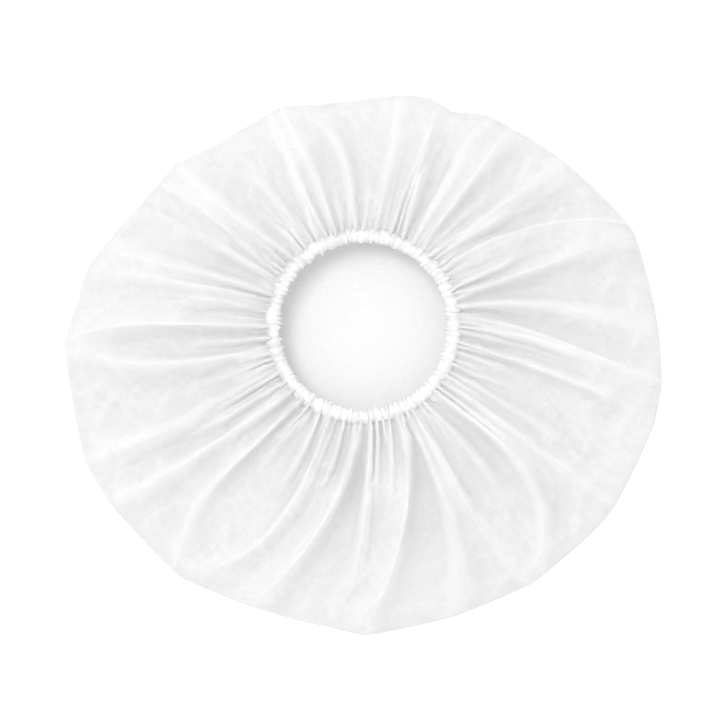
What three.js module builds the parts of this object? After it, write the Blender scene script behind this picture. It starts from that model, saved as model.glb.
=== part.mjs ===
// Disposable bouffant hair cover, lying on its crown with its elastic opening up.
// It is one round blank of thin nonwoven: it lies flat, folds back at the rim, and comes in
// over itself in radial pleats to a ruffled hem that is rolled round a ring of elastic.
// Millimetres, +Z up. The origin is under the middle of the laid cap, on the surface it lies on.
import * as THREE from "three";

// Driving dimensions
const capWidth = 310; // across the laid cap, along X
const openingWidth = 86; // the free opening inside the relaxed hem
const hemWidth = 7.2; // the rolled hem, seen from above
const hemHeight = 16.6; // the middle of the hem above the surface
const clothWall = 1; // wall of the cloth where it lies flat
const rimThickness = 4; // the folded rim, over both layers
const elasticWidth = 2.8; // the elastic inside the hem
const ruffleCount = 50; // gathers round the hem

// Sizes that follow from them
const halfWidth = capWidth / 2;
const rimFold = rimThickness / 2;
const hemSection = hemWidth / 2;
const hemRadius = openingWidth / 2 + hemSection;
const hemGap = 0.4; // between the pleated cloth and the rolled hem
const pleatsStart = hemRadius + hemSection + hemGap;

// The pleats, going round the opening. Bearings are in degrees about the middle of the opening, from +X
// towards +Y. A pleat starts at the hem, about the bearing hem and spread degrees wide, and narrows to a
// crease at the rim, at the bearing apex, where the rim is reach half widths away from the middle of the
// opening. rise is its height as a share of the tallest pleat's, and fade is where along it the pleat has
// died away, from 0 at the hem to 1 at the rim.
const pleats = [
  { apex: -1, reach: 0.99, hem: 12, spread: 8, rise: 0.75, fade: 1 },
  { apex: 19.5, reach: 0.96, hem: 22, spread: 8, rise: 0.9, fade: 1 },
  { apex: 27, reach: 0.924, hem: 31.5, spread: 8, rise: 1, fade: 1 },
  { apex: 40, reach: 0.87, hem: 42, spread: 9, rise: 0.8, fade: 1 },
  { apex: 53, reach: 0.832, hem: 54, spread: 6, rise: 0.8, fade: 1 },
  { apex: 60, reach: 0.822, hem: 61, spread: 5, rise: 0.6, fade: 0.9 },
  { apex: 67.5, reach: 0.78, hem: 68, spread: 5, rise: 0.7, fade: 0.6 },
  { apex: 77.5, reach: 0.8, hem: 78, spread: 9, rise: 0.8, fade: 1 },
  { apex: 100, reach: 0.76, hem: 92.5, spread: 9, rise: 0.7, fade: 0.9 },
  { apex: 111, reach: 0.786, hem: 105, spread: 7, rise: 0.8, fade: 1 },
  { apex: 116.5, reach: 0.78, hem: 114, spread: 6, rise: 0.5, fade: 0.8 },
  { apex: 128, reach: 0.783, hem: 125, spread: 8, rise: 0.5, fade: 0.7 },
  { apex: 139, reach: 0.832, hem: 138, spread: 8, rise: 0.85, fade: 1 },
  { apex: 145, reach: 0.837, hem: 147.5, spread: 6, rise: 0.7, fade: 1 },
  { apex: 152, reach: 0.856, hem: 155, spread: 5, rise: 0.5, fade: 0.7 },
  { apex: 163, reach: 0.911, hem: 162.5, spread: 6, rise: 0.75, fade: 1 },
  { apex: 167.5, reach: 0.945, hem: 170, spread: 6, rise: 0.8, fade: 1 },
  { apex: 175, reach: 0.965, hem: 179, spread: 8, rise: 0.7, fade: 0.9 },
  { apex: 183.3, reach: 1.003, hem: 194, spread: 10, rise: 0.8, fade: 1 },
  { apex: 206, reach: 1.037, hem: 209.5, spread: 10, rise: 0.95, fade: 1 },
  { apex: 215, reach: 1.035, hem: 223, spread: 8, rise: 0.85, fade: 1 },
  { apex: 234, reach: 1.04, hem: 239, spread: 11, rise: 0.65, fade: 1 },
  { apex: 249, reach: 1.01, hem: 257, spread: 12, rise: 1, fade: 1 },
  { apex: 264, reach: 1.015, hem: 272, spread: 8, rise: 0.8, fade: 1 },
  { apex: 270.5, reach: 1.035, hem: 285, spread: 11, rise: 1, fade: 1 },
  { apex: 288, reach: 1.018, hem: 297, spread: 8, rise: 0.9, fade: 1 },
  { apex: 303.5, reach: 1.029, hem: 306.5, spread: 7, rise: 0.6, fade: 1 },
  { apex: 319.5, reach: 1.035, hem: 318.5, spread: 10, rise: 0.95, fade: 1 },
  { apex: 325, reach: 1.035, hem: 329.5, spread: 7, rise: 0.7, fade: 1 },
  { apex: 341.5, reach: 1.029, hem: 341.5, spread: 8, rise: 0.6, fade: 0.9 },
  { apex: 349.5, reach: 1.018, hem: 356, spread: 12, rise: 0.9, fade: 1 },
];

// Stations along a pleat, from the hem to the rim fold: the heights of the valleys and of the tallest
// pleat, and how far the inner face of the cloth lies under the outer one. On the steep sides of a pleat
// the cloth stands nearly upright, so that drop is more than the wall.
const stations = [
  { along: 0, valley: 17.4, top: 17.4, drop: 1.3 },
  { along: 0.07, valley: 14.6, top: 20.4, drop: 1.9 },
  { along: 0.17, valley: 13.2, top: 22.8, drop: 2.2 },
  { along: 0.33, valley: 12.6, top: 22.2, drop: 2 },
  { along: 0.52, valley: 11.8, top: 19, drop: 1.6 },
  { along: 0.7, valley: 9.8, top: 14.4, drop: 1.3 },
  { along: 0.86, valley: 7.2, top: 9.4, drop: 1.1 },
  { along: 1, valley: rimThickness, top: rimThickness, drop: clothWall },
];

const shoulderShare = 0.26; // of a pleat's spread, from its middle to each shoulder at the hem
const creaseHalf = 0.6; // degrees from a crease to each shoulder at the rim
const footShares = [0.38, 0.62]; // where the valley's feet stand between the shoulders either side of it
const swellPerDegree = 0.05; // how far the rim swells past a straight line, for each degree between creases
const fadeLength = 0.35; // the share of the way over which a pleat dies away
const rimSteps = 4; // facets round the outside of the rim fold
const floorShares = [0.66, 0.33]; // rings of the flat crown, as shares of the way from its middle to the rim

const slitBearing = -50; // where the casing's slit is on its section, from straight out towards straight up
const slitHalf = 16; // degrees from the middle of the slit to each of its edges
const casingSteps = 7; // facets round the casing's section
const ruffleDepth = 0.5; // how far the casing sinks between two gathers

const { degToRad: radians, lerp: mix } = THREE.MathUtils;

// A place by its bearing and distance from the middle of the opening, and its height.
const place = (bearing, distance, height) =>
  new THREE.Vector3(distance * Math.cos(radians(bearing)), distance * Math.sin(radians(bearing)), height);

// The pleat that is steps further round, with its bearings running on past a full turn.
function pleatAt(index) {
  const turns = Math.floor(index / pleats.length);
  const pleat = pleats[index - turns * pleats.length];
  return { ...pleat, apex: pleat.apex + 360 * turns, hem: pleat.hem + 360 * turns };
}

// How far the rim is from the middle of the opening at a bearing between two neighbouring creases.
function rimDistance(from, to, bearing) {
  const near = from.reach * halfWidth;
  const far = to.reach * halfWidth;
  const whole = radians(to.apex - from.apex);
  const part = radians(bearing - from.apex);
  const straight = (near * far * Math.sin(whole)) / (near * Math.sin(part) + far * Math.sin(whole - part));
  const share = part / whole;
  return straight + swellPerDegree * (to.apex - from.apex) * 4 * share * (1 - share);
}

// The lines that run from the hem to the rim: the two shoulders of each pleat and the two feet of the
// valley after it.
function pleatLines() {
  return pleats.flatMap((_, index) => {
    const [before, pleat, after] = [pleatAt(index - 1), pleatAt(index), pleatAt(index + 1)];
    const shoulder = (of, side) => ({
      hem: of.hem + side * shoulderShare * of.spread,
      rim: of.apex + side * creaseHalf,
    });
    const [left, right, next] = [shoulder(pleat, -1), shoulder(pleat, 1), shoulder(after, -1)];
    const foot = (share) => ({ hem: mix(right.hem, next.hem, share), rim: mix(right.rim, next.rim, share) });
    const ridge = { rise: pleat.rise, fade: pleat.fade };
    const valley = { rise: 0, fade: 1 };
    return [
      { ...left, ...ridge, reach: rimDistance(before, pleat, left.rim) },
      { ...right, ...ridge, reach: rimDistance(pleat, after, right.rim) },
      ...footShares.map(foot).map((line) => ({
        ...line,
        ...valley,
        reach: rimDistance(pleat, after, line.rim),
      })),
    ];
  });
}

// One ring of the pleated cloth, on its outer face or, lowered by the station's drop, on its inner one.
function pleatRing(lines, station, inner) {
  return lines.map((line) => {
    const { along, valley, top, drop } = station;
    const dying = THREE.MathUtils.smoothstep(line.fade + fadeLength / 2 - along, 0, fadeLength);
    const height = mix(valley, top, line.rise * (line.fade < 1 ? dying : 1));
    const distance = mix(pleatsStart, line.reach - rimFold, along);
    return place(mix(line.hem, line.rim, along), distance, height - (inner ? drop : 0));
  });
}

// A closed mesh through rings of points. The rings either close on themselves, like a tyre, or end in a
// point in the middle of the first ring and one in the middle of the last. Each four-sided patch is split
// across its shorter way as seen from above, so the two faces of a wall fold along the same lines.
function shell(rings, ends) {
  const count = rings[0].length;
  const points = rings.flat();
  const faces = [];
  const apart = (a, b) => Math.hypot(points[a].x - points[b].x, points[a].y - points[b].y);
  const bands = ends ? rings.length - 1 : rings.length;
  for (let band = 0; band < bands; band += 1) {
    const lower = band * count;
    const upper = ((band + 1) % rings.length) * count;
    for (let i = 0; i < count; i += 1) {
      const j = (i + 1) % count;
      const [a, b, c, d] = [lower + i, lower + j, upper + j, upper + i];
      faces.push(...(apart(a, c) < apart(b, d) ? [a, b, c, a, c, d] : [a, b, d, b, c, d]));
    }
  }
  if (ends) {
    const [first, last] = [points.length, points.length + 1];
    const lastRing = points.length - count;
    points.push(...ends);
    for (let i = 0; i < count; i += 1) {
      const j = (i + 1) % count;
      faces.push(first, j, i, last, lastRing + i, lastRing + j);
    }
  }
  const geometry = new THREE.BufferGeometry().setFromPoints(points);
  geometry.setIndex(faces);
  geometry.computeVertexNormals();
  return geometry;
}

// The bag: from the middle of the flat crown out to the rim fold, in over the pleats to the hem, and back
// along the inner face of the cloth.
function crownGeometry() {
  const lines = pleatLines();
  const flatRing = (share, height) =>
    lines.map((line) => place(line.rim, share * (line.reach - rimFold), height));
  const foldRing = (fold, angle) =>
    lines.map((line) =>
      place(line.rim, line.reach - rimFold + fold * Math.cos(angle), rimFold + fold * Math.sin(angle)),
    );
  const foldAngles = (steps) =>
    Array.from({ length: steps - 1 }, (_, step) => ((step + 1) / steps - 0.5) * Math.PI);
  const outerRings = [
    ...floorShares.toReversed().map((share) => flatRing(share, 0)),
    flatRing(1, 0),
    ...foldAngles(rimSteps).map((angle) => foldRing(rimFold, angle)),
    ...stations.toReversed().map((station) => pleatRing(lines, station, false)),
  ];
  const innerRings = [
    ...stations.map((station) => pleatRing(lines, station, true)),
    foldRing(rimFold - clothWall, 0),
    flatRing(1, clothWall),
    ...floorShares.map((share) => flatRing(share, clothWall)),
  ];
  const middles = [place(0, 0, 0), place(0, 0, clothWall)];
  return shell([...outerRings, ...innerRings], middles);
}

// The rolled hem: a C-shaped section carried round the opening, deeper on the gathers than between them.
function casingGeometry() {
  const sectionArc = (inset) =>
    Array.from({ length: casingSteps + 1 }, (_, step) => {
      const angle = radians(mix(slitBearing + slitHalf, slitBearing + 360 - slitHalf, step / casingSteps));
      return Array.from({ length: 2 * ruffleCount }, (_, column) => {
        const radius = hemSection - inset - (column % 2) * ruffleDepth;
        const bearing = (180 / ruffleCount) * column;
        return place(bearing, hemRadius + radius * Math.cos(angle), hemHeight + radius * Math.sin(angle));
      });
    });
  return shell([...sectionArc(0), ...sectionArc(clothWall).toReversed()], null);
}

function elasticGeometry() {
  const sectionSides = 8;
  const ringSides = 60;
  return new THREE.TorusGeometry(hemRadius, elasticWidth / 2, sectionSides, ringSides);
}

function namedMesh(name, geometry, material) {
  const mesh = new THREE.Mesh(geometry, new THREE.MeshStandardMaterial(material));
  mesh.name = name;
  return mesh;
}

const crown = namedMesh("crown", crownGeometry(), { color: 0xf1f2f3, roughness: 0.75, metalness: 0 });
const casing = namedMesh("hem_casing", casingGeometry(), { color: 0xf8f8f8, roughness: 0.7, metalness: 0 });
const elastic = namedMesh("elastic_band", elasticGeometry(), { color: 0xe9e8e4, roughness: 0.6, metalness: 0 });
elastic.position.z = hemHeight;

// The opening is nearer the back of the laid cap, so the whole is moved to stand over the origin.
const cap = new THREE.Group();
cap.add(crown, casing, elastic);
const middle = new THREE.Box3().setFromObject(crown).getCenter(new THREE.Vector3());
cap.position.set(-middle.x, -middle.y, 0);

export default cap;
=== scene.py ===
import math

import bpy
import numpy as np
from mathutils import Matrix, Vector


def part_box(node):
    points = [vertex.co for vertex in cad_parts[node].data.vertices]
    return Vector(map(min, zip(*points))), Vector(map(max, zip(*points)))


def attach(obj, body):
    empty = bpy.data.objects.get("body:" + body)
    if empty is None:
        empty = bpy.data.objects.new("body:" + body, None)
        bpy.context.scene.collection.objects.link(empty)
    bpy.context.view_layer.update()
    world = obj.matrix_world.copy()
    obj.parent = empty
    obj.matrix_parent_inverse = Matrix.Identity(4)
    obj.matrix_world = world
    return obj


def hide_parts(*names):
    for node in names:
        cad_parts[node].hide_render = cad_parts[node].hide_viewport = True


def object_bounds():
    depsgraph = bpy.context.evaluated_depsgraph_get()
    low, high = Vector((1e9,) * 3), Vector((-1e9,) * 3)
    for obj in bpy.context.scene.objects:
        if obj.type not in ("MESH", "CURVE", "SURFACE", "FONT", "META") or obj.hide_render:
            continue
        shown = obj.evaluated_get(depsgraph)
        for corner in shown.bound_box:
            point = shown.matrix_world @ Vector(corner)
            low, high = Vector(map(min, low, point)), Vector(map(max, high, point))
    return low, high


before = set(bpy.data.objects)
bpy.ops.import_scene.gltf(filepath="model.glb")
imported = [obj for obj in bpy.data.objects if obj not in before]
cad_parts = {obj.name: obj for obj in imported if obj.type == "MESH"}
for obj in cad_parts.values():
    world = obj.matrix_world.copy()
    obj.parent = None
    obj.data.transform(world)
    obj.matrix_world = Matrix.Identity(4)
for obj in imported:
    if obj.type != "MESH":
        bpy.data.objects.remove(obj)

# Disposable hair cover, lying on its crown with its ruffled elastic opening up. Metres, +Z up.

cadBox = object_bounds()
elasticLow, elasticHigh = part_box("elastic_band")
hemLow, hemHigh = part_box("hem_casing")
openingMiddle = np.array(((elasticLow + elasticHigh) / 2)[:2])
halfWidth = (cadBox[1].x - cadBox[0].x) / 2
hemMiddleZ = (elasticLow.z + elasticHigh.z) / 2
elasticSection = (elasticHigh.z - elasticLow.z) / 2
hemRadius = (elasticHigh.x - elasticLow.x) / 2 - elasticSection
hemSection = (hemHigh.x - hemLow.x) / 2 - hemRadius
mm = 0.001
print("frame loaded: opening", round(hemRadius * 2000), "mm across the elastic")


# A node socket that can be used in plain sums. Each step of a sum adds a Math node.
class Wire:
    def __init__(self, maker, socket):
        self.maker = maker
        self.socket = socket

    def math(self, operation, first, second=None):
        values = {0: first} if second is None else {0: first, 1: second}
        return self.maker.add("ShaderNodeMath", {"operation": operation}, values)

    def __add__(self, other):
        return self.math("ADD", self, other)

    def __radd__(self, other):
        return self.math("ADD", other, self)

    def __sub__(self, other):
        return self.math("SUBTRACT", self, other)

    def __rsub__(self, other):
        return self.math("SUBTRACT", other, self)

    def __mul__(self, other):
        return self.math("MULTIPLY", self, other)

    def __pow__(self, other):
        return self.math("POWER", self, other)

    def ridge(self):  # 1 where the value is a half, falling off to both sides
        return 1.0 - self.math("ABSOLUTE", self * 2.0 - 1.0)

    def clamp(self):
        return self.math("MAXIMUM", self.math("MINIMUM", self, 1.0), 0.0)


# One material and its nodes.
class Finish:
    def __init__(self, name):
        self.material = bpy.data.materials.new(name)
        self.material.use_nodes = True
        self.tree = self.material.node_tree
        self.tree.nodes.clear()

    def add(self, kind, settings=None, inputs=None, output=0):
        node = self.tree.nodes.new(kind)
        for name, value in (settings or {}).items():
            setattr(node, name, value)
        for key, value in (inputs or {}).items():
            if isinstance(value, Wire):
                self.tree.links.new(value.socket, node.inputs[key])
            else:
                node.inputs[key].default_value = value
        return Wire(self, node.outputs[output]) if node.outputs else None

    def place(self, stretch=(1, 1, 1), turn=(0, 0, 0)):  # object coordinates, turned and then stretched
        where = self.add("ShaderNodeTexCoord", output="Object")
        return self.add("ShaderNodeMapping", {"vector_type": "TEXTURE"}, {
            "Vector": where, "Rotation": turn, "Scale": stretch})

    def mark(self, name, output):  # a value kept on the mesh
        return self.add("ShaderNodeAttribute", {"attribute_name": name}, output=output)

    def noise(self, where, scale, detail=3.0, roughness=0.5, distortion=0.0):
        return self.add("ShaderNodeTexNoise", inputs={
            "Vector": where, "Scale": scale, "Detail": detail,
            "Roughness": roughness, "Distortion": distortion,
        })

    def finish(self, shader):
        self.add("ShaderNodeOutputMaterial", inputs={"Surface": shader})
        return self.material


fabric = {
    "white": 0.84,                   # base colour of the smooth cloth
    "raisedPaintedLight": 0.09,            # painted light: how much whiter the raised, crumpled skirt is painted,
    "creasePaintedLight": 0.07,             # and the painted highlight on each crease in it, with painted shade in its hollows
    "hemDenseAndPaintedLight": 0.07,                # and the thick gathers near the hem: denser cloth, and painted light in their valleys
    "rimAndCrownPaintedShade": 0.16,                 # painted shade: how much greyer the rim fold and the flat crown are painted
    "glow": (0.96, 0.96, 0.96, 1),   # the light that comes through it
    "through": 0.52,                 # share of the light that comes through
    "cover": 0.92,                   # how much of the surface the fibres cover
    "swellScale": 75,                # noise scales: the crumples, the grain, the single fibres,
    "grainScale": 720,
    "fibreScale": 2600,
    "lineScale": 26,                 # and the lines pulled out from the hem
    "fibreLays": ((0.5, 9), (1.7, 11), (2.6, 10)),  # each lay's turn in radians, and its stretch
    "swell": 1.0 * mm,               # depths: the soft swells, the crumple lines between them,
    "crumple": 0.12 * mm,            # the pulled lines, the grain and the single fibres
    "pull": 0.07 * mm,
    "grain": 0.26 * mm,
    "fibre": 0.05 * mm,
    "smoothBelow": 0.8 * mm,         # the crown lies flat and smooth under this height,
    "crumpledOver": 2.5 * mm,        # and is fully crumpled this much higher
    "hemShare": 1 / 30,              # how far out the hem's whitening reaches, denser cloth and painted light (0.14 is the crown's middle),
    "rimShare": 0.12,                # and how far out the rim's painted shade begins
}


# Thin spunbond: crumpled, pulled into fine lines that run out from the hem, with a grain of single fibres.
def spunbond(name, look):
    finish = Finish(name)
    flat = finish.place()
    height = finish.add("ShaderNodeSeparateXYZ", inputs={0: flat}, output="Z")
    # How far the cloth stands over the flat crown: it gates the crumple texture, and the painted light that
    # whitens the raised skirt.
    creased = ((height - look["smoothBelow"]) * (1 / look["crumpledOver"])).clamp() * 0.9 + 0.1
    # 1 on a crest, -1 in a hollow: painted highlight on crests and painted shade in hollows, in the colour
    crease = finish.mark("crease", "Fac")
    lines = finish.mark("lines", "Vector")
    outward = finish.add("ShaderNodeSeparateXYZ", inputs={0: lines}, output="Z")
    # Near the hem the cloth is whiter: its gathers are denser, and painted light lifts the shade in their
    # valleys.
    nearHem = (1.0 - outward * (1 / look["hemShare"])).clamp()
    # Painted shade on the rim fold and the flat crown, out beyond rimShare.
    pastRim = ((outward - look["rimShare"]) * 100.0).clamp()
    streaks = finish.noise(lines, look["lineScale"], detail=3, roughness=0.6, distortion=0.4)
    pulled = streaks.ridge() ** 4
    swells = finish.noise(flat, look["swellScale"], detail=3, roughness=0.5, distortion=0.5)
    crumpleLines = swells.ridge() ** 8
    grain = finish.noise(flat, look["grainScale"], detail=5, roughness=0.7, distortion=0.9).ridge() ** 2
    strands = None
    for turn, stretch in look["fibreLays"]:
        laid = finish.place((1, stretch, 1), (0, 0, turn))
        strand = finish.noise(laid, look["fibreScale"], detail=2, distortion=0.4)
        strands = strand if strands is None else strands + strand
    strands = strands * (1 / len(look["fibreLays"])) - 0.5
    white = (
        look["white"] + crease * look["creasePaintedLight"] + strands * 0.12 - pastRim * look["rimAndCrownPaintedShade"]
        + (nearHem * look["hemDenseAndPaintedLight"] + look["raisedPaintedLight"] + pulled * 0.04 + crumpleLines * 0.03) * creased
        + ((streaks - 0.5) * 0.12 + (grain - 0.6) * 0.2) * creased
    ).clamp()
    cover = (look["cover"] + crease * 0.06 + strands * 0.3).clamp()
    relief = (
        swells * look["swell"] + crumpleLines * look["crumple"] + pulled * look["pull"]
        + grain * look["grain"]
    ) * creased + strands * look["fibre"]
    bump = finish.add("ShaderNodeBump", inputs={"Height": relief, "Distance": 1.0, "Strength": 1.0})
    body = finish.add("ShaderNodeBsdfPrincipled", inputs={
        "Base Color": white, "Roughness": 0.52 - crease * 0.08, "Normal": bump,
        "Specular IOR Level": 0.4, "Sheen Weight": 0.15, "Sheen Roughness": 0.4})
    glow = finish.add("ShaderNodeBsdfTranslucent", inputs={"Color": look["glow"]})
    cloth = finish.add("ShaderNodeMixShader", inputs={0: look["through"], 1: body, 2: glow})
    clear = finish.add("ShaderNodeBsdfTransparent")
    return finish.finish(finish.add("ShaderNodeMixShader", inputs={0: cover, 1: clear, 2: cloth}))


nonwoven = spunbond("nonwovenCloth", fabric)
hemCloth = spunbond("hemCloth", {**fabric, "white": 0.83, "creasePaintedLight": 0.05, "cover": 1.0, "through": 0.34})


# Corners of the rim: bearing in degrees about the opening's middle, and distance in half widths.
rimCorners = [
    (-1, 0.99), (8, 0.972), (19.5, 0.96), (27, 0.924), (40, 0.87), (53, 0.832), (60, 0.822),
    (67.5, 0.78), (74, 0.80), (81, 0.787), (92, 0.76), (100, 0.76), (111, 0.786), (118, 0.778),
    (128, 0.783), (139, 0.832), (145, 0.837), (152, 0.856), (163, 0.911), (167.5, 0.945),
    (175, 0.965), (183.3, 1.003), (194, 1.007), (206, 1.037), (215, 1.035), (225, 1.03),
    (234, 1.04), (249, 1.01), (264, 1.015), (270.5, 1.035), (288, 1.018), (303.5, 1.029),
    (319.5, 1.035), (325, 1.035), (341.5, 1.029), (349.5, 1.018),
]

# The folds, going round. hem, middle and rim are bearings in degrees along the fold's crest, start is how
# far out it begins (1 is the rim), rise its height, sharp is 1 for a creased crest and 0 for a round one,
# and lean is how far the crest leans towards growing bearings.
foldColumns = ("hem", "middle", "rim", "start", "rise", "sharp", "lean")
folds = [
    (12.5, 5, -1, 1, 0.75, 1, 0.5),
    (17.5, 19.5, 17.8, 1, 0.8, 0.6, -0.4),
    (24, 24, 19.3, 0.45, 0.7, 0.5, 0),
    (30, 26.6, 20.2, 0.38, 0.5, 0.5, 0),
    (36, 29, 21, 1, 1, 1, 0.8),
    (40.5, 37, 31, 0.6, 0.5, 0.4, 0),
    (45.5, 40.5, 40, 1, 0.9, 0.7, 0.3),
    (49.5, 46.5, 46, 0.52, 0.5, 0.5, 0),
    (53.5, 53.8, 53, 1, 0.8, 0.9, -0.3),
    (59.5, 59.5, 59.5, 1, 0.7, 0.8, 0.5),
    (66.5, 68.5, 66.5, 0.61, 0.8, 0.5, 0.3),
    (75.5, 73, 71, 0.95, 0.6, 1, -0.4),
    (83, 81, 80.5, 1, 0.8, 0.7, 0),
    (89, 88, 90, 0.4, 0.4, 0.5, 0),
    (95.5, 96, 104, 0.9, 0.5, 0.3, 0),
    (101, 103, 108, 0.35, 0.4, 0.4, 0),
    (107, 109.5, 111, 1, 0.85, 1, -0.6),
    (116, 115, 113, 1, 0.6, 0.6, 0.3),
    (124, 125, 129, 0.75, 0.4, 0.3, 0),
    (130, 132, 135, 0.35, 0.35, 0.4, 0),
    (135.5, 138.5, 138.7, 1, 0.8, 0.7, 0.3),
    (142, 141, 141.8, 0.3, 0.4, 0.4, 0),
    (149, 143.5, 144.5, 1, 0.8, 1, 0.6),
    (154.5, 151, 152, 0.55, 0.45, 0.4, 0),
    (159, 162, 162.5, 1, 0.75, 0.6, 0),
    (164.5, 167, 167.5, 1, 0.5, 0.5, 0),
    (170, 171, 174, 0.5, 0.6, 0.4, 0),
    (180, 177.3, 182.4, 1, 0.9, 1, 0.7),
    (187, 185, 183.4, 0.35, 0.5, 0.4, 0),
    (194, 191.5, 184.4, 1, 0.75, 0.6, -0.4),
    (200, 199, 196, 0.35, 0.4, 0.4, 0),
    (205.5, 207, 206, 1, 0.9, 0.7, 0.4),
    (215, 212, 210, 0.5, 0.6, 0.5, 0),
    (220.5, 218.5, 214.5, 1, 0.85, 0.7, -0.3),
    (229.5, 225, 232.4, 1, 0.6, 0.5, 0.5),
    (237, 233, 233.3, 0.35, 0.4, 0.4, 0),
    (243, 242, 234.2, 0.35, 0.35, 0.4, 0),
    (250, 248.5, 235.2, 1, 0.7, 0.5, -0.5),
    (258, 252.5, 244, 0.4, 0.5, 0.5, 0),
    (267.5, 257, 248.5, 1, 1, 0.9, 0.5),
    (273, 270, 264, 0.93, 0.7, 0.6, 0),
    (279, 273.6, 267, 0.45, 0.5, 0.5, 0),
    (285, 276.4, 268.4, 0.5, 0.5, 0.5, 0),
    (291.5, 279.5, 270, 1, 1, 1, 0.9),
    (296.5, 295, 288, 1, 0.9, 0.6, -0.4),
    (302.5, 300, 303, 1, 0.6, 1, 0.3),
    (309, 310, 304, 0.55, 0.5, 0.4, 0),
    (316, 319, 305.5, 1, 0.9, 0.5, -0.4),
    (321, 321.6, 318, 0.4, 0.4, 0.4, 0),
    (326.5, 324, 325, 1, 0.95, 0.9, 0.4),
    (332, 330, 329, 0.7, 0.6, 0.5, 0),
    (338, 337, 336, 0.3, 0.4, 0.4, 0),
    (343.5, 341.5, 339.5, 0.35, 0.35, 0.4, 0),
    (350, 346.5, 343, 0.9, 0.55, 0.3, -0.3),
    (357, 350.5, 347, 0.3, 0.8, 0.4, 0),
    (365.5, 353.5, 349.5, 1, 0.9, 0.8, 0.6),
]

cap = {
    "columns": 450,                  # of the simulated cloth; the finished cloth has twice as many
    "rows": 48,
    "rowSpacing": 1.15,              # rows lie a little closer together near the hem
    "floorRings": 6,
    "clothLift": 0.3 * mm,           # the cloth's underside above the surface it lies on
    "rimFold": 1.3 * mm,
    "rimSwell": 2.9 * mm,            # how far a run of the rim swells out, for each radian of it
    "foldWidth": (1.6 * mm, 5.8 * mm),   # half width of a fold at the hem and at the rim
    "foldLean": 4.0 * mm,            # how far a leaning crest stands to one side
    "gathers": 92,                   # small gathers at the hem
    "gatherHeight": 4.8 * mm,
    "facetWidth": 15.0 * mm,         # half width of the flat slopes beside a creased fold, at the rim
    "gatherReach": [0.13, 0.2, 0.32, 0.5],       # how far out a gather dies away (1 is the rim),
    "gatherOdds": [0.3, 0.3, 0.25, 0.15],        # and how often
    "gatherLean": 0.9 * mm,
    "gatherDrift": 5 / 3.6,          # how far a gather may turn aside, in gathers
    "lowest": 1.8 * mm,              # the skirt stays this far above the floor
    "blankWidth": 0.533,             # the round blank, cut flat
}

# Heights in millimetres from the hem (0) to the rim (1): of the valleys, and of a full fold above them.
profileAlong = [0, 0.05, 0.12, 0.22, 0.35, 0.5, 0.68, 0.85, 0.95, 1]
valleyHeight = [14.6, 14.2, 13.2, 11.8, 10.3, 8.6, 6.6, 4.4, 3.2, 2.6]
foldHeight = [2.6, 6.7, 10.4, 13.4, 14.2, 13.0, 9.8, 5.8, 3.3, 1.3]
facetHeight = [0, 0, 0.3, 1.1, 2.2, 3.4, 4.4, 4.0, 3.0, 1.7]  # of the flat slopes beside a creased fold

skirtStart = hemRadius + hemSection * 0.35  # the pleated cloth begins under the outer half of the hem


def rowShares(rows):  # how far out each row of the skirt lies, from the hem (0) to the rim (1)
    return np.linspace(0, 1, rows)[:, None] ** cap["rowSpacing"]


# Distance to the rim at a bearing: straight runs between its corners, which swell a little.
def rimDistance(at):
    corners = np.array(rimCorners)
    bearings = np.concatenate([corners[:, 0], corners[:1, 0] + 360])
    reaches = np.concatenate([corners[:, 1], corners[:1, 1]]) * halfWidth
    turned = np.mod(np.asarray(at) - bearings[0], 360) + bearings[0]
    index = np.clip(np.searchsorted(bearings, turned, side="right") - 1, 0, len(corners) - 1)
    whole = np.radians(bearings[index + 1] - bearings[index])
    part = np.radians(turned - bearings[index])
    near, far = reaches[index], reaches[index + 1]
    straight = near * far * np.sin(whole) / (near * np.sin(part) + far * np.sin(whole - part))
    share = part / whole
    return straight + cap["rimSwell"] * whole * 4 * share * (1 - share)


def foldColumn(name):
    return np.array([fold[foldColumns.index(name)] for fold in folds], dtype=float)


def bent(hem, middle, rim, along):  # a bearing that runs smoothly through three others
    nearHem = hem * (1 - along) * (1 - 2 * along)
    return nearHem + middle * 4 * along * (1 - along) + rim * along * (2 * along - 1)


# Bearing of the line that leaves the hem at a bearing, at each share of the way out. The lines run with
# the folds, so that a fold's crest stays on one line of the mesh.
def carried(hemBearing, along):
    hems, middles, rims = (
        np.concatenate([foldColumn(name) + turn for turn in (-360, 0, 360)])
        for name in ("hem", "middle", "rim")
    )
    return bent(hemBearing, np.interp(hemBearing, hems, middles), np.interp(hemBearing, hems, rims), along)


def placed(bearing, distance, height):
    turned = np.radians(bearing)
    return np.stack([
        openingMiddle[0] + distance * np.cos(turned),
        openingMiddle[1] + distance * np.sin(turned),
        height], axis=-1)


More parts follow.
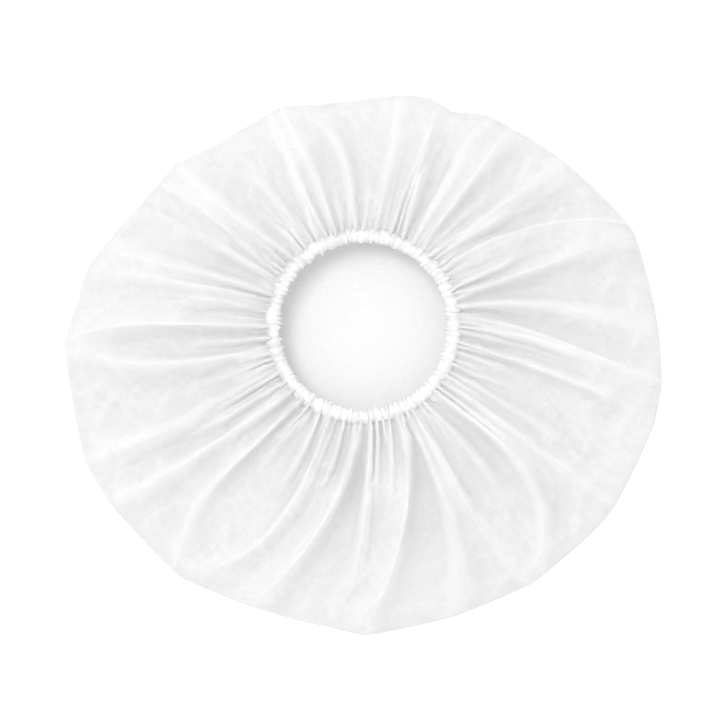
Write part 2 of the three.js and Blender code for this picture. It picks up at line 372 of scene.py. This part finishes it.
# The pleated skirt as a grid of points, rows from the hem to the rim.
def skirtPoints():
    columns, rows = cap["columns"], cap["rows"]
    hemBearing = np.arange(columns) * 360.0 / columns
    along = rowShares(rows)
    grid = np.concatenate([carried(hemBearing, share) for share in along]).reshape(rows, columns)
    reach = rimDistance(grid) - cap["rimFold"]
    distance = skirtStart + (reach - skirtStart) * along
    crest = np.interp(along, profileAlong, foldHeight) * mm
    height = np.interp(along, profileAlong, valleyHeight) * mm + np.zeros_like(grid)
    sideways = np.zeros_like(grid)
    narrow, wide = cap["foldWidth"]
    for hem, middle, rim, start, rise, sharp, lean in folds:
        away = np.mod(grid - bent(hem, middle, rim, along) + 180, 360) - 180
        across = np.radians(away) * distance
        width = (narrow + (wide - narrow) * along) * (0.75 + 0.45 * rise)
        shape = np.exp(-(np.abs(across) / width) ** (2.2 - 1.15 * sharp))
        if start < 1:
            shape = shape * np.clip((start + 0.1 - along) / 0.25, 0, 1) ** 1.5
        facet = np.clip(1 - np.abs(across) / (cap["facetWidth"] * (0.25 + 0.75 * along)), 0, 1)
        if start < 1:
            facet = facet * np.clip((start + 0.1 - along) / 0.25, 0, 1)
        slope = np.interp(along, profileAlong, facetHeight) * mm
        height = height + rise * (crest * shape + sharp * slope * facet)
        sideways = sideways + lean * cap["foldLean"] * shape * np.sin(math.pi * along) ** 0.7
    return placed(grid + np.degrees(sideways / distance), distance, height)


def doubled(points, axis):  # a smooth point between every two along an axis; the columns go round
    before = np.moveaxis(points, axis, 0)
    if axis == 1:
        wrapped = np.concatenate([before[-1:], before, before[:2]])
    else:
        first, last = 2 * before[:1] - before[1:2], 2 * before[-1:] - before[-2:-1]
        wrapped = np.concatenate([first, before, last])
    between = (9 * (wrapped[1:-2] + wrapped[2:-1]) - wrapped[:-3] - wrapped[3:]) / 16
    after = np.empty((len(before) + len(between),) + before.shape[1:])
    after[0::2] = before
    after[1::2] = between
    return np.moveaxis(after, 0, axis)


# The small gathers that the elastic draws up, which die away at different distances from the hem.
def gathered(points):
    rng = np.random.default_rng(7)
    rows, columns = points.shape[:2]
    hemBearing = (np.arange(columns) * 360.0 / columns)[None, :]
    along = rowShares(rows)
    offset = points[..., :2] - openingMiddle
    distance = np.linalg.norm(offset, axis=2)
    bearing = np.degrees(np.arctan2(offset[..., 1], offset[..., 0]))
    height = points[..., 2].copy()
    sideways = np.zeros_like(height)
    turn = 360.0 / cap["gathers"]
    for gather in range(cap["gathers"]):
        base = (gather + rng.uniform(-0.25, 0.25)) * turn
        reachOut = rng.choice(cap["gatherReach"], p=cap["gatherOdds"])
        tall = cap["gatherHeight"] * rng.uniform(0.6, 1.45)
        blunt = rng.choice([1.6, 3.2])
        lean = rng.uniform(-1, 1) * cap["gatherLean"]
        drift = rng.uniform(-1, 1) * cap["gatherDrift"] * turn
        away = np.mod(hemBearing - base - drift * along + 180, 360) - 180
        shape = np.exp(-(np.abs(away) / (turn * (0.27 + 0.5 * along))) ** blunt)
        fade = np.exp(-((along / reachOut) ** 2)) * np.clip(0.85 + along * 5, 0, 1)
        height = height + tall * shape * fade
        sideways = sideways + lean * shape * fade
    return placed(bearing + np.degrees(sideways / distance), distance, height)


# Wavelength, number of crossing waves and depth of each size of crumple.
crumples = [(30 * mm, 5, 1.3 * mm), (14 * mm, 6, 0.3 * mm), (5.2 * mm, 8, 0.07 * mm)]


# Creases all over the skirt, sharp along their tops, from waves that cross at all angles.
def crumpled(points):
    rng = np.random.default_rng(19)
    along = rowShares(len(points))
    total = np.zeros(points.shape[:2])
    for length, count, depth in crumples:
        waves = np.zeros(points.shape[:2])
        for wave in range(count):
            angle, phase = rng.uniform(0, 2 * math.pi, 2)
            run = points[..., 0] * math.cos(angle) + points[..., 1] * math.sin(angle)
            waves = waves + np.sin(2 * math.pi * run / (length * rng.uniform(0.7, 1.4)) + phase)
        total = total + depth * (0.6 - np.abs(waves) / math.sqrt(count))
    result = points.copy()
    result[..., 2] += total * np.clip(0.3 + along * 2, 0, 1) * np.clip((1 - along) / 0.12, 0, 1)
    return result


# The rim fold and the flat crown under the skirt, rows from the skirt's last row to the middle.
def floorPoints(skirt):
    edge = skirt[-1]
    outward = edge[:, :2] - openingMiddle
    outward = outward / np.linalg.norm(outward, axis=1, keepdims=True)
    fold = cap["rimFold"]
    lift = cap["clothLift"]
    rows = []
    topZ = edge[:, 2]
    for step in (0.5, 1.0, 1.5, 2.0):
        angle = math.pi / 2 * (1 - step)
        middle = (topZ + lift) / 2
        half = (topZ - lift) / 2
        ring = np.empty_like(edge)
        ring[:, :2] = edge[:, :2] + outward * fold * math.cos(angle)
        ring[:, 2] = middle + half * math.sin(angle)
        rows.append(ring)
    last = rows[-1]
    evenly = placed(np.arange(len(edge)) * 360.0 / len(edge), rimDistance(0) * 0.75, np.full(len(edge), lift))
    for share in np.linspace(1, 0, cap["floorRings"] + 1)[1:-1]:
        even = min(1, 2 * (1 - share))
        ring = last * (1 - even) + evenly * even
        ring[:, :2] = openingMiddle + (ring[:, :2] - openingMiddle) * share
        rows.append(ring)
    return np.array(rows)


# How far each point stands over those around it: 1 on a crease, -1 in a hollow.
def creasing(points):
    height = points[..., 2]
    total = np.zeros_like(height)
    for axis, reach, full, weight in ((1, 3, 0.3 * mm, 0.5), (0, 2, 0.3 * mm, 0.2), (1, 14, 2.6 * mm, 0.3)):
        border = [(0, 0), (0, 0)]
        border[axis] = (reach, reach)
        wide = np.moveaxis(np.pad(height, border, mode="wrap" if axis else "edge"), axis, 0)
        runs = [wide[i:i + height.shape[axis]] for i in range(2 * reach + 1)]
        around = np.moveaxis(sum(runs) / len(runs), 0, axis)
        total = total + weight * np.clip((height - around) / full, -1, 1)
    return total


def gridMesh(name, rings, pole=None, loop=False, marks=None):
    rows, columns = rings.shape[:2]
    points = [tuple(point) for point in rings.reshape(-1, 3)]
    faces = []
    for row in range(rows if loop else rows - 1):
        low, high = row * columns, ((row + 1) % rows) * columns
        for i in range(columns):
            j = (i + 1) % columns
            faces.append((low + i, high + i, high + j, low + j))
    if pole is not None:
        points.append(tuple(pole))
        low = (rows - 1) * columns
        faces += [(low + i, len(points) - 1, low + (i + 1) % columns) for i in range(columns)]
    mesh = bpy.data.meshes.new(name)
    mesh.from_pydata(points, [], faces)
    mesh.shade_smooth()
    for label, values in (marks or {}).items():
        rowsOfValues = np.asarray(values, dtype=float).reshape(rows * columns, -1)
        if pole is not None:
            rowsOfValues = np.concatenate([rowsOfValues, rowsOfValues[-1:]])
        kind, field = ("FLOAT", "value") if rowsOfValues.shape[1] == 1 else ("FLOAT_VECTOR", "vector")
        mesh.attributes.new(label, kind, "POINT").data.foreach_set(field, rowsOfValues.ravel())
    piece = bpy.data.objects.new(name, mesh)
    bpy.context.scene.collection.objects.link(piece)
    return piece


settling = {
    "frames": 12,
    "quality": 5,
    "grow": -0.013,                  # a negative shrink factor: the cloth is a little larger than its folds
    "stretch": 5,
    "bend": 4,
    "share": 0.85,                   # of the simulated movement that is kept
    "furthest": 4.5 * mm,            # no point moves further than this
}


# Cloth simulation: the skirt is held at the hem and the rim and buckles a little between its folds.
def settled(start):
    rows, columns = start.shape[:2]
    sheet = gridMesh("settling_cloth", start)
    held = sheet.vertex_groups.new(name="held")
    held.add(list(range(columns)) + list(range((rows - 2) * columns, rows * columns)), 1.0, "REPLACE")
    cloth = sheet.modifiers.new("settle", "CLOTH")
    cloth.settings.quality = settling["quality"]
    cloth.settings.mass = 0.01
    cloth.settings.tension_stiffness = settling["stretch"]
    cloth.settings.compression_stiffness = settling["stretch"]
    cloth.settings.shear_stiffness = settling["stretch"] / 3
    cloth.settings.bending_stiffness = settling["bend"]
    cloth.settings.air_damping = 2
    cloth.settings.shrink_min = settling["grow"]
    cloth.settings.vertex_group_mass = "held"
    cloth.settings.effector_weights.gravity = 0
    cloth.collision_settings.use_collision = False
    scene = bpy.context.scene
    for number in range(1, settling["frames"] + 1):
        scene.frame_set(number)
    shown = sheet.evaluated_get(bpy.context.evaluated_depsgraph_get())
    moved = np.empty(rows * columns * 3)
    shown.data.vertices.foreach_get("co", moved)
    moved = moved.reshape(start.shape) - start
    bpy.data.objects.remove(sheet)
    scene.frame_set(1)
    far = np.linalg.norm(moved, axis=2, keepdims=True)
    kept = moved * settling["share"] * np.minimum(1, settling["furthest"] / np.maximum(far, 1e-9))
    nearRim = np.linspace(1, 0, rows)[:, None, None]
    return start + kept * np.clip(nearRim / 0.18, 0, 1)


pleated = skirtPoints()
pleated = settled(pleated)
print("skirt settled by simulation")
pleated = doubled(doubled(pleated, 1), 0)
pleated = crumpled(gathered(pleated))
pleated[..., 2] = np.maximum(pleated[..., 2], cap["lowest"])
clothRings = np.concatenate([pleated, floorPoints(pleated)])
ringCount, columnCount = clothRings.shape[:2]
crease = np.zeros((ringCount, columnCount))
crease[:len(pleated)] = creasing(pleated)
turned = np.broadcast_to(np.linspace(0, 2 * math.pi, columnCount, endpoint=False), crease.shape)
outward = np.broadcast_to(np.linspace(0, 0.14, ringCount)[:, None], crease.shape)
# The crease mark paints highlight on crests and shade in hollows into the cloth's colour.
crownCloth = gridMesh(
    "crown_cloth", clothRings, pole=(openingMiddle[0], openingMiddle[1], cap["clothLift"]),
    marks={"crease": crease, "lines": np.stack([np.cos(turned), np.sin(turned), outward], axis=-1)},
)
crownCloth.data.materials.append(nonwoven)
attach(crownCloth, "root")
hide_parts("crown")
print("cap cloth:", len(crownCloth.data.polygons), "faces")


ruffledHem = {
    "ruffles": 104,
    "columnsEach": 9,
    "sectionSteps": 28,
    "flatness": 0.84,                # the roll's height as a share of its width
    "fullness": 1.16,                # the ruffles' size as a share of the plain roll's
    "creaseDepth": 0.26,             # how deep the creases between ruffles cut, as a share of the roll
    "slant": 2.6,                    # degrees that a ruffle may lean along the hem
    "stray": 0.5 * mm,               # how far a ruffle may stand in, out, up or down
}


# The rolled edge drawn up on its elastic: rings of points round the roll's section, each ruffle its own size.
def hemRings():
    rng = np.random.default_rng(11)
    ruffles = ruffledHem["ruffles"]
    columns = ruffles * ruffledHem["columnsEach"]
    bearing = np.arange(columns) * 360.0 / columns
    creases = (np.arange(ruffles + 1) + rng.uniform(-0.3, 0.3, ruffles + 1)) * 360.0 / ruffles
    creases[-1] = creases[0] + 360
    turned = np.mod(bearing - creases[0], 360) + creases[0]
    ruffle = np.clip(np.searchsorted(creases, turned, side="right") - 1, 0, ruffles - 1)
    share = (turned - creases[ruffle]) / (creases[ruffle + 1] - creases[ruffle])
    depth = ruffledHem["creaseDepth"] * rng.uniform(0.5, 1.15, ruffles + 1)
    depth[-1] = depth[0]
    cut = np.where(share < 0.5, depth[ruffle], depth[ruffle + 1])
    puff = 1 - cut * (1 - np.sin(math.pi * share) ** 0.7)
    spans = ((0.86, 1.1), (-1, 1), (0, 6))
    size, slant, peak = (rng.uniform(low, high, ruffles)[ruffle] for low, high in spans)
    blend = np.sin(math.pi * share)
    inward, upward = (rng.uniform(-1, 1, ruffles)[ruffle] * ruffledHem["stray"] * blend for _ in range(2))
    rings = []
    for step in range(ruffledHem["sectionSteps"]):
        angle = -2 * math.pi * step / ruffledHem["sectionSteps"]
        ripple = 1 + blend * (0.09 * np.sin(3 * angle + peak) + 0.06 * np.sin(5 * angle - 2 * peak))
        radius = hemSection * ruffledHem["fullness"] * (1 - blend + blend * size) * puff * ripple
        lean = slant * ruffledHem["slant"] * math.sin(angle + 0.4) * blend
        rings.append(placed(
            bearing + lean,
            hemRadius + radius * math.cos(angle) + inward,
            hemMiddleZ + radius * ruffledHem["flatness"] * math.sin(angle) + upward))
    return np.array(rings), np.broadcast_to(np.clip(puff * 10 - 9, -1, 1), (len(rings), columns))


# The crease mark on the hem paints shade into the creases between ruffles and highlight on the puffs.
rolled, ruffleCrease = hemRings()
hemRuffles = gridMesh("hem_ruffles", rolled, loop=True, marks={"crease": ruffleCrease})
hemRuffles.data.materials.append(hemCloth)
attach(hemRuffles, "root")
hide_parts("hem_casing")
print("hem:", len(hemRuffles.data.polygons), "faces")


def elasticFinish():
    finish = Finish("wovenElastic")
    where = finish.place((1, 1, 1))
    ribs = finish.noise(where, 900, detail=2)
    bump = finish.add("ShaderNodeBump", inputs={"Height": ribs, "Distance": 0.0002, "Strength": 1.0})
    return finish.finish(finish.add("ShaderNodeBsdfPrincipled", inputs={
        "Base Color": (0.82, 0.81, 0.78, 1), "Roughness": 0.45 + ribs * 0.3, "Normal": bump}))


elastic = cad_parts["elastic_band"]
elastic.data.materials.clear()
elastic.data.materials.append(elasticFinish())


studio = {
    "floorWidth": 6.0,
    "world": 1.15,
    "key": 1.28,
    "keySoftness": 28,               # degrees across
    "keyFrom": (-0.31, 0.3, 1.0),
}

bpy.ops.object.select_all(action="DESELECT")
bpy.ops.mesh.primitive_plane_add(size=studio["floorWidth"], location=(0, 0, 0))
floor = bpy.context.object
floor.name = "studio_floor"
floorFinish = Finish("paleFloor")
floor.data.materials.append(floorFinish.finish(floorFinish.add("ShaderNodeBsdfPrincipled", inputs={
    "Base Color": (0.95, 0.95, 0.95, 1), "Roughness": 0.9, "Specular IOR Level": 0.1})))

world = bpy.data.worlds.new("softStudio")
world.use_nodes = True
world.node_tree.nodes["Background"].inputs["Color"].default_value = (1, 1, 1, 1)
world.node_tree.nodes["Background"].inputs["Strength"].default_value = studio["world"]
bpy.context.scene.world = world
bpy.context.scene.view_settings.view_transform = "Standard"

keyLight = bpy.data.lights.new("keyLight", "SUN")
keyLight.energy = studio["key"]
keyLight.angle = math.radians(studio["keySoftness"])
key = bpy.data.objects.new("keyLight", keyLight)
key.location = studio["keyFrom"]
key.rotation_mode = "QUATERNION"
key.rotation_quaternion = Vector(studio["keyFrom"]).to_track_quat("Z", "Y")
bpy.context.scene.collection.objects.link(key)

camera = bpy.data.objects.new("camera", bpy.data.cameras.new("camera"))
view = {"lens": 85.0, "sensor": 36.0, "width": 0.3755, "across": -0.0018, "up": 0.0023}
camera.data.lens = view["lens"]
camera.data.sensor_width = view["sensor"]
cameraHeight = view["width"] * view["lens"] / view["sensor"]
camera.location = (view["across"], view["up"], cameraHeight)
bpy.context.scene.collection.objects.link(camera)
bpy.context.scene.camera = camera
print("stage ready, camera", round(cameraHeight, 3), "m up")
